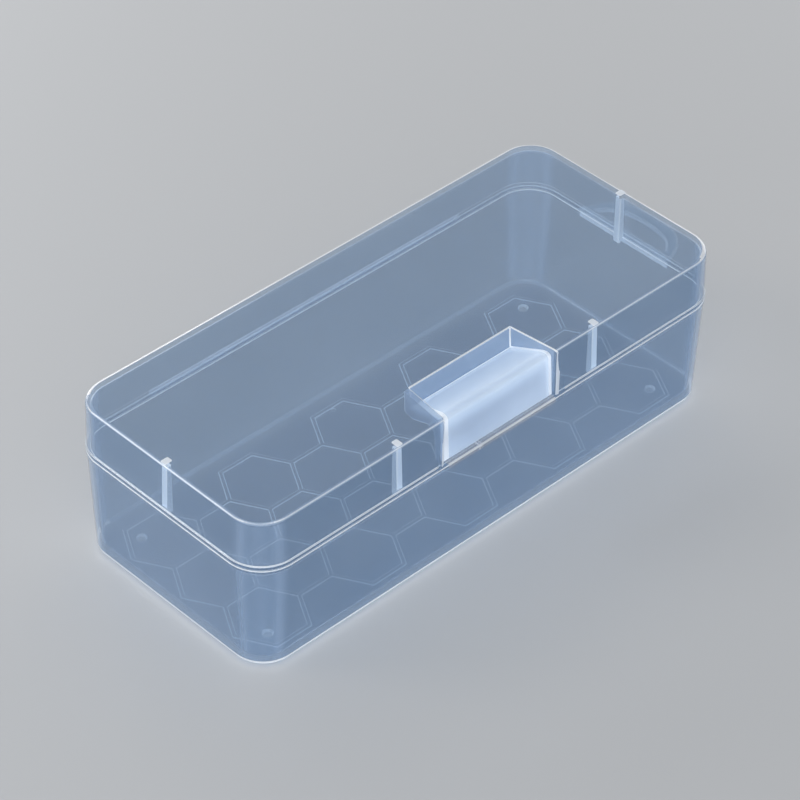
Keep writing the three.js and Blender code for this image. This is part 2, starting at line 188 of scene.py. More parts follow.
def polypropylene(name, look):
    material = bpy.data.materials.new(name)
    material.use_nodes = True
    tree = material.node_tree
    tree.nodes.clear()
    spots = tree.nodes.new("ShaderNodeTexCoord").outputs["Object"]
    clouds = noiseOf(tree, spots, (1, 1, 1), look["cloudScale"], plastic["cloudDetail"])
    scratches = noiseOf(tree, spots, look["scratchStretch"], look["scratchScale"], plastic["scratchDetail"])
    grain = noiseOf(tree, spots, (1, 1, 1), look["grainScale"], plastic["grainDetail"])
    bump = tree.nodes.new("ShaderNodeBump")
    bump.inputs["Strength"].default_value = look["bumpStrength"]
    bump.inputs["Distance"].default_value = look["bumpHeight"] * millimetre
    wire(tree, mathOf(tree, "MULTIPLY_ADD", scratches, look["scratchShare"], grain), bump.inputs["Height"])
    bumps = bump.outputs["Normal"]

    # Painted highlight: the mesh's share on rounded edges whitens the tint and thickens the haze. A slanting
    # look passes more plastic and adds to that share, so it is denser and painted whiter.
    edge = tree.nodes.new("ShaderNodeAttribute")
    edge.attribute_name = "paintedHighlightShare"
    slant = tree.nodes.new("ShaderNodeLayerWeight")
    slant.inputs["Blend"].default_value = plastic["slantBlend"]
    slantShare = mathOf(tree, "POWER", slant.outputs["Facing"], look["slantPower"])
    paintedHighlightShare = mathOf(tree, "MULTIPLY_ADD", slantShare, look["slantShare"], edge.outputs["Fac"])
    paintedHighlightShare = mathOf(tree, "MINIMUM", paintedHighlightShare, 1)
    swing = plastic["hazeSwing"]
    haze = rangeOf(tree, clouds, look["haze"] * (1 - swing), look["haze"] * (1 + swing))
    haze = mathOf(tree, "MULTIPLY_ADD", paintedHighlightShare, look["highlightHaze"], haze)
    milk = milkOf(tree, look, tintOf(tree, look, clouds, paintedHighlightShare), bumps)
    hazy = mixOf(tree, haze, clearOf(tree, look["through"]), milk)

    # What the surface mirrors lies over the haze: a few per cent head on, and all of it at a glance.
    gloss = tree.nodes.new("ShaderNodeBsdfGlossy")
    wire(tree, rangeOf(tree, scratches, look["smooth"], look["dull"]), gloss.inputs["Roughness"])
    wire(tree, bumps, gloss.inputs["Normal"])
    headOn = plastic["headOnMirror"]
    mirror = mathOf(tree, "POWER", slant.outputs["Facing"], plastic["glancePower"])
    mirror = mathOf(tree, "MULTIPLY_ADD", mirror, (1 - headOn) * look["shine"], headOn * look["shine"])
    surface = mixOf(tree, mirror, hazy, gloss.outputs["BSDF"])

    # Hazy plastic scatters light onwards, so it shades what is behind it less than it hides it.
    shadow = tree.nodes.new("ShaderNodeLightPath").outputs["Is Shadow Ray"]
    output = tree.nodes.new("ShaderNodeOutputMaterial")
    wire(tree, mixOf(tree, shadow, surface, clearOf(tree, look["passed"])), output.inputs["Surface"])
    return material


clearLook = {
    "deepTint": (0.43, 0.63, 0.92),
    "paleTint": (0.53, 0.71, 0.97),
    # The whiter tint of the painted highlight
    "highlightTint": (0.98, 0.99, 1.0),
    "through": (0.7, 0.745, 0.785),
    "passed": (0.915, 0.93, 0.945),
    "haze": 0.1,
    "slantShare": 0.7,
    "slantPower": 3.5,
    "highlightHaze": 0.85,
    "glow": 0.35,
    "downGlow": 0.6,
    "shine": 1.2,
    "smooth": 0.08,
    "dull": 0.18,
    "cloudScale": 28,
    "scratchStretch": (60, 700, 700),
    "scratchScale": 1.2,
    "scratchShare": 0.4,
    "grainScale": 900,
    "bumpStrength": 0.05,
    "bumpHeight": 0.02,
}
topLook = dict(clearLook, haze=0.05, through=(0.785, 0.83, 0.868))
thickLook = dict(clearLook, haze=0.5, highlightHaze=0.5, deepTint=(0.8, 0.88, 0.97), paleTint=(0.86, 0.92, 0.99))
milkyLook = dict(
    clearLook,
    deepTint=(0.76, 0.86, 0.98),
    paleTint=(0.83, 0.91, 1.0),
    through=(0.8, 0.84, 0.88),
    passed=(0.8, 0.83, 0.86),
    haze=0.66,
    slantShare=0.4,
    highlightHaze=0.34,
    glow=0.45,
    smooth=0.14,
    dull=0.24,
    scratchShare=0.2,
)
ribLook = dict(
    milkyLook,
    deepTint=(0.86, 0.92, 1.0),
    paleTint=(0.91, 0.95, 1.0),
    haze=0.95,
    highlightHaze=0.05,
    glow=0.12,
)
etchedLook = dict(
    clearLook,
    deepTint=(0.92, 0.95, 0.98),
    paleTint=(0.96, 0.98, 1.0),
    haze=0.9,
    slantShare=0.2,
    highlightHaze=0.1,
    glow=0.1,
    downGlow=0.85,
    smooth=0.3,
    dull=0.45,
)
filmLook = dict(
    milkyLook,
    deepTint=(0.96, 0.94, 0.96),
    paleTint=(1.0, 0.98, 0.98),
    haze=0.85,
    highlightHaze=0.15,
    glow=0.3,
    scratchStretch=(40, 900, 900),
    bumpStrength=0.2,
)
finishes = [polypropylene("clearWall", clearLook), polypropylene("milkyFlap", milkyLook),
            polypropylene("etchedLine", etchedLook), polypropylene("thickTab", thickLook),
            polypropylene("whiteRib", ribLook), polypropylene("clearTop", topLook)]
filmFinish = polypropylene("flexedFilm", filmLook)
latchFilmFinish = polypropylene("latchFilm", dict(filmLook, haze=0.2, highlightHaze=0.4))
print("finishes mixed")


# Mesh work that every piece shares
rounding = {"quarterSteps": 6, "fineQuarterSteps": 10, "bevelSteps": 3, "weldGap": 0.004}
smoothing = {"angle": 32, "weldGap": 0.002}
# How much painted highlight a face gets: from its curving, in radians per millimetre, as a painted line along
# a large rounding, and as painted streaks, in degrees from the diagonal of the box's upright corners
paintedHighlight = {
    "gentle": 0.75,
    "tight": 1.6,
    "sharp": 0.7,
    "leastLength": 0.01,
    "leastWidth": 0.05,
    "lineWidth": 9,
    "straightLine": 0.8,
    "lineStreak": 0.3,
    "lineDip": 0.45,
    "corner": 0.14,
    "streak": 0.12,
    "streakAt": 29,
    "streakWidth": 9,
}


def within(value, ends):
    return ends[0] < value < ends[1]


def newPiece(name, places, faces, face):
    mesh = bpy.data.meshes.new(name)
    mesh.from_pydata([Vector(place) * millimetre for place in places], [], faces)
    for finish in finishes:
        mesh.materials.append(finish)
    mesh.polygons.foreach_set("material_index", [face] * len(mesh.polygons))
    form = bmesh.new()
    form.from_mesh(mesh)
    bmesh.ops.recalc_face_normals(form, faces=form.faces)
    form.to_mesh(mesh)
    form.free()
    return addObject(name, mesh)


def softPath(corners, closed=False, quarterSteps=rounding["quarterSteps"]):
    # Corners are (a, b, radius), and a radius of 0 stays sharp.
    path, last = [], len(corners) - 1
    for i, (a, b, radius) in enumerate(corners):
        if not radius or (not closed and i in (0, last)):
            path.append((a, b))
            continue
        here = Vector((a, b))
        back = (Vector(corners[i - 1][:2]) - here).normalized()
        ahead = (Vector(corners[(i + 1) % len(corners)][:2]) - here).normalized()
        half = back.angle(ahead) / 2
        centre = here + (back + ahead).normalized() * radius / math.sin(half)
        first = here + back * radius / math.tan(half) - centre
        sweep = math.pi - 2 * half
        if back.x * ahead.y - back.y * ahead.x > 0:
            sweep = -sweep
        steps = max(2, round(abs(sweep) / (math.pi / 2) * quarterSteps))
        for step in range(steps + 1):
            turn = sweep * step / steps
            path.append((centre.x + first.x * math.cos(turn) - first.y * math.sin(turn),
                         centre.y + first.x * math.sin(turn) + first.y * math.cos(turn)))
    return path


def roundedRing(inward, radius, height):
    halfLength, halfWidth, steps = endX - inward, backY - inward, rim["cornerSteps"]
    radius = max(radius, rim["leastCorner"])
    ring = []
    for quarter, (sx, sy) in enumerate([(1, 1), (-1, 1), (-1, -1), (1, -1)]):
        for step in range(steps + 1):
            turn = (quarter + step / steps) * math.pi / 2
            ring.append((sx * (halfLength - radius) + radius * math.cos(turn),
                         sy * (halfWidth - radius) + radius * math.sin(turn), height))
    return ring


def throughRings(name, rings, face=clearFace):
    # A body through rings of equal count, capped at both ends
    count, total = len(rings[0]), len(rings)
    places = [place for ring in rings for place in ring]
    faces = []
    for low in range(0, (total - 1) * count, count):
        high = low + count
        faces += [(low + i, low + (i + 1) % count, high + (i + 1) % count, high + i) for i in range(count)]
    faces += [tuple(range(count)), tuple(range((total - 1) * count, total * count))]
    return newPiece(name, places, faces, face)


def alongX(name, profile, half):
    # A profile in Y and Z, run along X
    return throughRings(name, [[(x, y, z) for y, z in profile] for x in (-half, half)])


def upZ(name, outline, low, high, face=clearFace):
    # An outline in X and Y, run up Z
    return throughRings(name, [[(x, y, z) for x, y in outline] for z in (low, high)], face)


def settle(piece):
    # The modifiers become the mesh.
    bpy.context.view_layer.update()
    ready = bpy.data.meshes.new_from_object(piece.evaluated_get(bpy.context.evaluated_depsgraph_get()))
    piece.modifiers.clear()
    spent, piece.data = piece.data, ready
    bpy.data.meshes.remove(spent)
    ready.name = piece.name


def combine(piece, tool, operation):
    modifier = piece.modifiers.new(operation.lower(), "BOOLEAN")
    modifier.operation, modifier.solver, modifier.object = operation, "MANIFOLD", tool
    settle(piece)
    bpy.data.objects.remove(tool)
    return piece


def roundEdges(piece, width, angle, chosen=None):
    # Small roundings on the sharp edges, all of them or those that chosen() picks by their middle
    form = bmesh.new()
    form.from_mesh(piece.data)
    bmesh.ops.remove_doubles(form, verts=form.verts, dist=rounding["weldGap"] * millimetre)
    edges = [e for e in form.edges if len(e.link_faces) == 2 and e.calc_face_angle(0) > math.radians(angle)
             and (chosen is None or chosen(*((e.verts[0].co + e.verts[1].co) / 2 / millimetre)))]
    bmesh.ops.bevel(form, geom=edges, offset=width * millimetre, offset_type="OFFSET",
                    segments=rounding["bevelSteps"], profile=0.5, affect="EDGES", clamp_overlap=False)
    form.to_mesh(piece.data)
    form.free()


def roundingHighlightOf(face):
    # Painted highlight share: 1 on a tight rounding and 0 on a flat or gently curved wall
    length = max(face.calc_perimeter() / millimetre, paintedHighlight["leastLength"])
    width = 2 * face.calc_area() / millimetre ** 2 / length
    soft = [e for e in face.edges if e.calc_face_angle(0) < paintedHighlight["sharp"]]
    turn = sum(e.calc_face_angle(0) * e.calc_length() / millimetre for e in soft) / length
    curve = turn / max(width, paintedHighlight["leastWidth"])
    return min(1, max(0, (curve - paintedHighlight["gentle"]) / (paintedHighlight["tight"] - paintedHighlight["gentle"])))


def cornerSpot(normal):
    # Nearness, from 0 to 1, to the diagonal of a corner of the box and to the painted highlight streak at
    # each side of it
    across, along = sorted((abs(normal.x), abs(normal.y)))
    fromDiagonal = 45 - math.degrees(math.atan2(across, along))
    fromStreak = (fromDiagonal - paintedHighlight["streakAt"]) / paintedHighlight["streakWidth"]
    return 1 - fromDiagonal / 45, math.exp(-fromStreak ** 2)


def highlightLineOf(normal):
    # A thin painted highlight line where a rounding faces halfway up, brightest at the painted streaks and
    # dim between them
    halfway = (2 * math.hypot(normal.x, normal.y) * abs(normal.z)) ** paintedHighlight["lineWidth"]
    diagonal, streak = cornerSpot(normal)
    bright = paintedHighlight["straightLine"] + paintedHighlight["lineStreak"] * streak - paintedHighlight["lineDip"] * diagonal ** 2
    return halfway * min(1, bright)


def cornerHighlightOf(normal):
    # A soft painted glow on the box's upright corners, with a painted highlight streak to each side of the
    # diagonal.
    diagonal, streak = cornerSpot(normal)
    return paintedHighlight["corner"] * diagonal + paintedHighlight["streak"] * streak


def smoothFaces(piece, angle=smoothing["angle"], weighted=True, highlightPainter=None):
    # Smooth shading with sharp edges, and each face's share of the painted highlight, which the given painter
    # may change
    form = bmesh.new()
    form.from_mesh(piece.data)
    bmesh.ops.remove_doubles(form, verts=form.verts, dist=smoothing["weldGap"] * millimetre)
    bmesh.ops.dissolve_degenerate(form, edges=form.edges, dist=smoothing["weldGap"] * millimetre)
    share = form.faces.layers.float.new("paintedHighlightShare")
    for f in form.faces:
        f.smooth = True
        f[share] = roundingHighlightOf(f)
        if highlightPainter:
            f[share] = highlightPainter(f.calc_center_median() / millimetre, f.normal, f[share])
    for e in form.edges:
        e.smooth = e.calc_face_angle(math.pi) < math.radians(angle)
    form.to_mesh(piece.data)
    form.free()
    if weighted:
        modifier = piece.modifiers.new("flatsStayFlat", "WEIGHTED_NORMAL")
        modifier.keep_sharp = True
        settle(piece)


def place(piece, body, slot, node):
    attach(piece, body)
    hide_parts(node)


# Tub, with the hang tab, feet and floor pattern
tub = {
    "height": 35.4,
    "draft": 1.47,
    "cornerTaper": 1.95,
    "wall": 1.3,
    "floor": 1.4,
    "floorRound": 0.9,
    "brightEdge": 1.25,
    "innerRound": 1.5,
    "lipReach": 0.2,
    "lipHeight": 1.1,
    "lipRound": 0.22,
    "throatRound": 0.3,
    "capInset": 1.2,
}


def tubWallAt(z):
    return tub["lipReach"] + tub["draft"] * (tub["height"] - z) / tub["height"]


def tubRing(inward, z):
    depth = (tub["height"] - z) / tub["height"]
    wallRadius = rim["corner"] - tub["lipReach"] - tub["cornerTaper"] * depth
    wallInward = tub["lipReach"] + tub["draft"] * depth
    return roundedRing(inward, wallRadius - inward + wallInward, z)


def makeTub():
    top = tub["height"]
    lipLow = top - tub["lipHeight"]
    throat = lipLow - tub["lipReach"]
    innerFloor = tubWallAt(tub["floor"]) + tub["wall"]
    corners = [
        (tubWallAt(0) + tub["floorRound"] + tub["capInset"], 0, 0),
        (tubWallAt(0), 0, tub["floorRound"]),
        (tubWallAt(tub["brightEdge"]), tub["brightEdge"], 0),
        (tubWallAt(throat), throat, tub["throatRound"]),
        (0, lipLow, tub["lipRound"]),
        (0, top, tub["lipRound"]),
        (tubWallAt(top) + tub["wall"], top, tub["lipRound"]),
        (innerFloor, tub["floor"], tub["innerRound"]),
        (innerFloor + tub["innerRound"] + tub["capInset"], tub["floor"], 0),
    ]
    return throughRings("tubShell", [tubRing(*point) for point in softPath(corners)])


# Honeycomb: one net of hexagons with points left and right, cut into the underside
honeycomb = {
    "pitchX": 17.9,
    "pitchY": 21.2,
    "lineWidth": 1.6,
    "lineDepth": 0.16,
    "slope": 0.36,
    "columns": 9,
    "overrun": 0.05,
    "weldGap": 0.2,
    "cornerSlackShare": 0.01,
    "keysPerMetre": 1e5,
    "flankNormal": (0.1, 0.97),
}
cellHalf, rowHalf, band = honeycomb["pitchX"] * 2 / 3, honeycomb["pitchY"] / 2, honeycomb["lineWidth"] / 2


def placeKey(spot):
    # The same for points that lie in one place
    return round(spot.x * honeycomb["keysPerMetre"]), round(spot.y * honeycomb["keysPerMetre"])


def isNetCorner(point):
    # The hexagons' corners lie on half cells and half rows.
    shares = point.co.x / millimetre / (cellHalf / 2), point.co.y / millimetre / rowHalf
    return all(abs(share - round(share)) < honeycomb["cornerSlackShare"] for share in shares)


def hexagonNet():
    # A flat band inside each hexagon's outline, joined to those of its neighbours
    hexagon = [(cellHalf, 0), (cellHalf / 2, rowHalf), (-cellHalf / 2, rowHalf),
               (-cellHalf, 0), (-cellHalf / 2, -rowHalf), (cellHalf / 2, -rowHalf)]
    reach = (honeycomb["columns"] - 1) // 2
    net = bmesh.new()
    for column in range(-reach, reach + 1):
        for row in ([-1, 0, 1] if column % 2 == 0 else [-0.5, 0.5]):
            middle = Vector((column * honeycomb["pitchX"], row * honeycomb["pitchY"], 0))
            outer, inner = ([net.verts.new((middle + Vector((*c, 0)) * size) * millimetre) for c in hexagon]
                            for size in (1, 1 - band / rowHalf))
            for i in range(6):
                net.faces.new((inner[i], outer[i], outer[(i + 1) % 6], inner[(i + 1) % 6]))
    bmesh.ops.remove_doubles(net, verts=net.verts, dist=honeycomb["weldGap"] * millimetre)
    return net


def slidesOf(net):
    # How far the points at the lines' sides move inwards on the way up, by place
    slides = {}
    for f in net.faces:
        for v in [v for v in f.verts if not isNetCorner(v)]:
            corner = min((w for w in f.verts if isNetCorner(w)), key=lambda w: (w.co - v.co).length)
            slides[placeKey(v.co)] = (corner.co - v.co) * honeycomb["slope"] / band
    return slides


def addOuterBands(net, slides):
    # The outermost lines get their outer half, with mitred corners.
    outside = {}
    for v in [v for v in net.verts if isNetCorner(v)]:
        sides = []
        for e in [e for e in v.link_edges if e.is_boundary]:
            along = (e.other_vert(v).co - v.co).normalized()
            normal = Vector((-along.y, along.x, 0))
            inward = e.link_faces[0].calc_center_median() - (e.verts[0].co + e.verts[1].co) / 2
            sides.append(-normal if normal.dot(inward) > 0 else normal)
        if len(sides) == 2:
            mitre = (sides[0] + sides[1]).normalized()
            out = mitre * millimetre / mitre.dot(sides[0])
            outside[v] = net.verts.new(v.co + out * band)
            slides[placeKey(outside[v].co)] = -out * honeycomb["slope"]
    for e in [e for e in net.edges if e.is_boundary and all(v in outside for v in e.verts)]:
        a, b = e.verts
        net.faces.new((a, b, outside[b], outside[a]))


def makeHoneycombCutter():
    # The net raised to the lines' depth, where it is narrower, with etched flanks
    net = hexagonNet()
    slides = slidesOf(net)
    addOuterBands(net, slides)
    bmesh.ops.recalc_face_normals(net, faces=net.faces)
    for item in bmesh.ops.extrude_face_region(net, geom=net.faces[:])["geom"]:
        if isinstance(item, bmesh.types.BMVert):
            item.co += slides.get(placeKey(item.co), Vector((0, 0, 0)))
            item.co.z = honeycomb["lineDepth"] * millimetre
    for v in net.verts:
        if v.co.z == 0:
            v.co.z = -honeycomb["overrun"] * millimetre
    bmesh.ops.recalc_face_normals(net, faces=net.faces)
    net.normal_update()
    for f in net.faces:
        f.material_index = etchedFace if within(abs(f.normal.z), honeycomb["flankNormal"]) else clearFace
    mesh = bpy.data.meshes.new("honeycombCutter")
    net.to_mesh(mesh)
    net.free()
    for finish in finishes:
        mesh.materials.append(finish)
    return addObject("honeycombCutter", mesh)


# Feet and gate mark
foot = {"radius": 1.65, "height": 0.8, "round": 0.5, "insetX": 14, "insetY": 12.75}
gate = {"radius": 0.75, "height": 0.3, "round": 0.1, "x": 1, "inset": 8.75}
stud = {"steps": 32, "capShare": 0.3, "flatNormal": 0.9}
footX, footY = endX - foot["insetX"], backY - foot["insetY"]


def makeStud(name, size, x, y):
    # A short round post from inside the floor down, whose rim is etched
    radius, low, steps = size["radius"], -size["height"], stud["steps"]
    side = [(stud["capShare"] * radius, low, 0), (radius, low, size["round"]), (radius, tub["floor"] / 2, 0)]
    turns = [2 * math.pi * i / steps for i in range(steps)]
    rings = [[(x + r * math.cos(turn), y + r * math.sin(turn), z) for turn in turns]
             for r, z in softPath(side)]
    piece = throughRings(name, rings, etchedFace)
    for polygon in piece.data.polygons:
        if abs(polygon.normal.z) > stud["flatNormal"]:
            polygon.material_index = clearFace
    return piece


# Hang tab with its D-shaped slot
tab = {
    "reach": 13.1,
    "halfWidth": 17.7,
    "thickness": 1.5,
    "seatShare": 0.6,
    "upperRound": 0.75,
    "lowerRound": 0.45,
    "roundAngle": 40,
    "roundFrom": 0.2,
    "slotInset": 2.5,
    "slotReach": 6.4,
    "slotHalf": 13.9,
    "rootReach": 1.5,
    "rootRise": 0.04,
    "rootDrop": 1.3,
    "rootInset": 0.2,
    "rootOverlap": 0.05,
    "rootLowRound": 0.5,
    "rootRound": 0.3,
    "rootShort": 0.01,
    "domeSteps": 4,
    # Places along the outline, as shares of its reach and of its half width
    "domeShares": [(0, 1), (0.2, 0.995), (0.4, 0.97), (0.6, 0.88), (0.75, 0.73), (0.87, 0.5), (0.95, 0.24),
                   (1, 0)],
    "slotShares": [(0, 1), (0.25, 0.985), (0.5, 0.9), (0.7, 0.72), (0.86, 0.43), (0.96, 0.16), (0.985, 0.05),
                   (0.93, 0)],
}


def flowing(points):
    # A smooth line through the points
    line, steps = [], tab["domeSteps"]
    for i in range(len(points) - 1):
        p0, p1 = Vector(points[max(i - 1, 0)]), Vector(points[i])
        p2, p3 = Vector(points[i + 1]), Vector(points[min(i + 2, len(points) - 1)])
        for step in range(steps):
            t = step / steps
            line.append(tuple(p1 + (p2 - p0) * t / 2 + (2 * p0 - 5 * p1 + 4 * p2 - p3) * t * t / 2
                              + (3 * p1 - p0 - 3 * p2 + p3) * t * t * t / 2))
    return line + [points[-1]]


def domeOutline(shares, halfWidth, start, reach):
    shares = [(-a, b) for a, b in reversed(shares[1:])] + shares
    return [(start + reach * out, halfWidth * across) for across, out in flowing(shares)]


def makeTab():
    top, low = tub["height"], tub["height"] - tab["thickness"]
    inwardX = endX - tub["lipReach"] - tub["wall"] * tab["seatShare"]
    plate = domeOutline(tab["domeShares"], tab["halfWidth"], endX, tab["reach"])
    plate = [(inwardX, -tab["halfWidth"])] + plate + [(inwardX, tab["halfWidth"])]
    piece = upZ("hangTab", plate, low, top, thickFace)
    slot = domeOutline(tab["slotShares"], tab["slotHalf"], endX + tab["slotInset"], tab["slotReach"])
    combine(piece, upZ("slotCutter", slot, low - overrun, top + overrun), "DIFFERENCE")
    for width, level in ((tab["upperRound"], top), (tab["lowerRound"], low)):
        roundEdges(piece, width, tab["roundAngle"],
                   chosen=lambda x, y, z: x > endX + tab["roundFrom"] and abs(z - level) < near)
    rootX, rootTop, rootLow = endX + tab["rootReach"], top + tab["rootRise"], low - tab["rootDrop"]
    profile = softPath([
        (inwardX, rootLow, 0),
        (endX - tab["rootInset"], rootLow, tab["rootLowRound"]),
        (rootX, low + tab["rootOverlap"], tab["rootRound"]),
        (rootX, rootTop, 0),
        (inwardX, rootTop, 0),
    ], closed=True)
    half = tab["halfWidth"] - tab["rootShort"]
    root = throughRings("tabRoot", [[(x, y, z) for x, z in profile] for y in (-half, half)], ribFace)
    return combine(piece, root, "UNION")


tubShell = makeTub()
combine(tubShell, makeTab(), "UNION")
for x in (-footX, footX):
    for y in (-footY, footY):
        combine(tubShell, makeStud("foot", foot, x, y), "UNION")
combine(tubShell, makeHoneycombCutter(), "DIFFERENCE")
combine(tubShell, makeStud("gate", gate, gate["x"], backY - gate["inset"]), "UNION")


# Where the tub gets painted highlights: heights and reaches in millimetres, parts of a normal and shares of
# the painted highlight
tubHighlights = {
    "edgeNormal": (-0.85, -0.02),
    "farEdge": 0.3,
    "nearEdgeFrom": 0.6,
    "nearEdgeOver": 0.3,
    "studBelow": -0.02,
    "flatNormal": 0.97,
    "tabFrom": 0.3,
    "innerRoundAbove": 0.2,
    "innerRoundShare": 0.15,
    "underRim": 1.8,
    "atRim": 0.6,
    "rimShare": 0.3,
    "overFloor": 2,
    "uprightNormal": 0.1,
}


def paintTubHighlights(spot, normal, share):
    at, floor, top = tubHighlights, tub["floor"], tub["height"]
    if -near < spot.z < tub["brightEdge"] and within(normal.z, at["edgeNormal"]):
        # Painted highlight on the bottom edge, brightest at the front and left.
        towards = (-min(spot.x / endX, spot.y / backY) - at["nearEdgeFrom"]) / at["nearEdgeOver"]
        return at["farEdge"] + (1 - at["farEdge"]) * min(1, max(0, towards))
    # Painted bright rings on the feet and the gate mark
    if spot.z < at["studBelow"] and abs(normal.z) < at["flatNormal"]:
        return 1
    # Painted highlight on the hang tab's edges
    if spot.x > endX + at["tabFrom"]:
        return 1 if abs(normal.z) < at["flatNormal"] else 0
    # Painted highlight kept weak on the inner floor rounding and just under the rim
    if floor - near < spot.z < floor + tub["innerRound"] + at["innerRoundAbove"]:
        return at["innerRoundShare"] * share
    if top - at["underRim"] < spot.z < top - at["atRim"]:
        return at["rimShare"] * share
    # Painted glow and highlight streaks on the upright corners
    if floor + at["overFloor"] < spot.z < top - at["underRim"] and abs(normal.z) < at["uprightNormal"]:
        return max(share, cornerHighlightOf(normal))
    return share


smoothFaces(tubShell, highlightPainter=paintTubHighlights)
place(tubShell, "base", "clear_wall", "base_tub")
print("tub built:", len(tubShell.data.polygons), "faces")


# Lid, with the latch pocket and fins
lid = {
    "gap": 0.3,
    "height": 16.1,
    "draft": 0.68,
    "cornerTaper": 1.3,
    "wall": 1.2,
    "top": 1.3,
    "topRound": 1.3,
    "innerRound": 1,
    "lipReach": 0.2,
    "lipHeight": 1.2,
    "lipRound": 0.2,
    "capInset": 1.2,
    "topNormal": 0.99,
    "sleeveInset": 0.45,
    "sleeveCap": 3,
}
lidLow = tub["height"] + lid["gap"]
boxTop = lidLow + lid["height"]


def lidWallAt(z):
    return lid["lipReach"] + lid["draft"] * (z - lidLow) / lid["height"]


def lidRing(inward, z):
    climb = (z - lidLow) / lid["height"]
    wallRadius = rim["corner"] - lid["lipReach"] - lid["cornerTaper"] * climb
    return roundedRing(inward, wallRadius - inward + lidWallAt(z), z)


def lidOuterCorners(inset, capInward):
    lipTop = lidLow + lid["lipHeight"]
    return [
        (inset, lidLow, lid["lipRound"]),
        (inset, lipTop, lid["lipRound"]),
        (lidWallAt(lipTop) + inset, lipTop + lid["lipReach"], lid["lipRound"]),
        (lidWallAt(boxTop) + inset, boxTop - inset, lid["topRound"]),
        (capInward, boxTop - inset, 0),
    ]


def makeLidShell():
    ceiling = boxTop - lid["top"]
    capInward = lidWallAt(boxTop) + lid["wall"] + lid["innerRound"] + lid["capInset"]
    corners = [
        (capInward, ceiling, 0),
        (lidWallAt(ceiling) + lid["wall"], ceiling, lid["innerRound"]),
        (lidWallAt(lidLow) + lid["wall"], lidLow, lid["lipRound"]),
    ] + lidOuterCorners(0, capInward)
    fineSteps = rounding["fineQuarterSteps"]
    shell = throughRings("lidShell", [lidRing(*point) for point in softPath(corners, quarterSteps=fineSteps)])
    for polygon in shell.data.polygons:
        if abs(polygon.normal.z) > lid["topNormal"] and polygon.center.z > (ceiling - near) * millimetre:
            polygon.material_index = topFace
    return shell


# Latch pocket sunk into the lid's front
pocket = {
    "reach": 17.05,
    "rearHalf": 19.4,
    "frontHalf": 21.3,
    "mouthFlare": 1.6,
    "rearDrop": 6.5,
    "rearLean": 0.4,
    "rearRound": 1.1,
    "footLength": 1.5,
    "footRound": 0.6,
    "underFootRound": 0.8,
    "ridgeInset": 7.35,
    "ridgeDrop": 4.6,
    "ridgeWidth": 0.5,
    "ridgeRound": 0.2,
    "underRidgeRound": 0.5,
    "stepDrop": 1.1,
    "stepRun": 0.6,
    "stepRound": 0.3,
    "faceInset": 2.95,
    "faceLean": 0.8 / 13.4,
    "shoulderRound": 1.2,
    "wall": 1.1,
    "sideSlack": 0.5,
    "mouthAside": 3,
    "mouthBehind": 1,
    "mouthBelow": 1.25,
    "mouthAngle": 25,
    "mouthRound": 0.32,
    "roundAngle": 50,
    "innerRound": 0.3,
    "outerRound": 0.35,
}
pocketBackY = frontY + pocket["reach"]
pocketFootZ = boxTop - pocket["rearDrop"] - pocket["rearRound"]
ridgeY, ridgeZ = frontY + pocket["ridgeInset"], boxTop - pocket["ridgeDrop"]
stepZ = ridgeZ - pocket["stepDrop"]


def faceY(z):
    return frontY + pocket["faceInset"] + pocket["faceLean"] * (z - lidLow)


def pocketProfile():
    # The hollow's section, from behind its mouth down over the ridge and out at the front
    backFootY = pocketBackY - pocket["rearLean"]
    return softPath([
        (pocketBackY + pocket["rearLean"] * overrun / pocket["rearDrop"], boxTop + overrun, 0),
        (backFootY, pocketFootZ, pocket["rearRound"]),
        (backFootY - pocket["rearRound"] - pocket["footLength"], pocketFootZ, pocket["footRound"]),
        (ridgeY, ridgeZ, pocket["ridgeRound"]),
        (ridgeY - pocket["ridgeWidth"], ridgeZ, pocket["ridgeRound"]),
        (ridgeY - pocket["ridgeWidth"] - pocket["stepRun"], stepZ, pocket["stepRound"]),
        (faceY(stepZ), stepZ, pocket["shoulderRound"]),
        (faceY(lidLow - overrun), lidLow - overrun, 0),
        (frontY - overrun, lidLow - overrun, 0),
        (frontY - overrun, boxTop + overrun, 0),
    ], closed=True)


def pocketInnerProfile():
    # The section of the pocket with its walls, as seen from inside the lid
    wall = pocket["wall"]
    backFootY = pocketBackY - pocket["rearLean"] + wall
    footZ = pocketFootZ - wall
    return softPath([
        (pocketBackY + wall, boxTop, 0),
        (backFootY, footZ, pocket["rearRound"]),
        (backFootY - wall - pocket["rearRound"] - pocket["footLength"], footZ, pocket["underFootRound"]),
        (ridgeY, ridgeZ - wall - pocket["ridgeWidth"] / 2, pocket["underRidgeRound"]),
        (faceY(stepZ) + wall, stepZ - wall, pocket["shoulderRound"]),
        (faceY(lidLow) + wall, lidLow, 0),
        (frontY - overrun, lidLow, 0),
        (frontY - overrun, boxTop, 0),
    ], closed=True)


def pocketPlan(grow):
    # The pocket seen from above, with both sides flared out at the mouth
    flare = pocket["mouthFlare"]
    mouthY = frontY + lid["lipReach"] + lid["draft"] / 2
    side = softPath([
        (pocket["rearHalf"] + grow, pocketBackY + overrun, 0),
        (pocket["rearHalf"] + grow, pocketBackY, 0),
        (pocket["frontHalf"] + grow, mouthY, flare),
        (pocket["frontHalf"] + grow + flare * 2, mouthY, 0),
        (pocket["frontHalf"] + grow + flare * 2, frontY - overrun, 0),
    ], quarterSteps=rounding["fineQuarterSteps"])
    return side + [(-x, y) for x, y in reversed(side)]


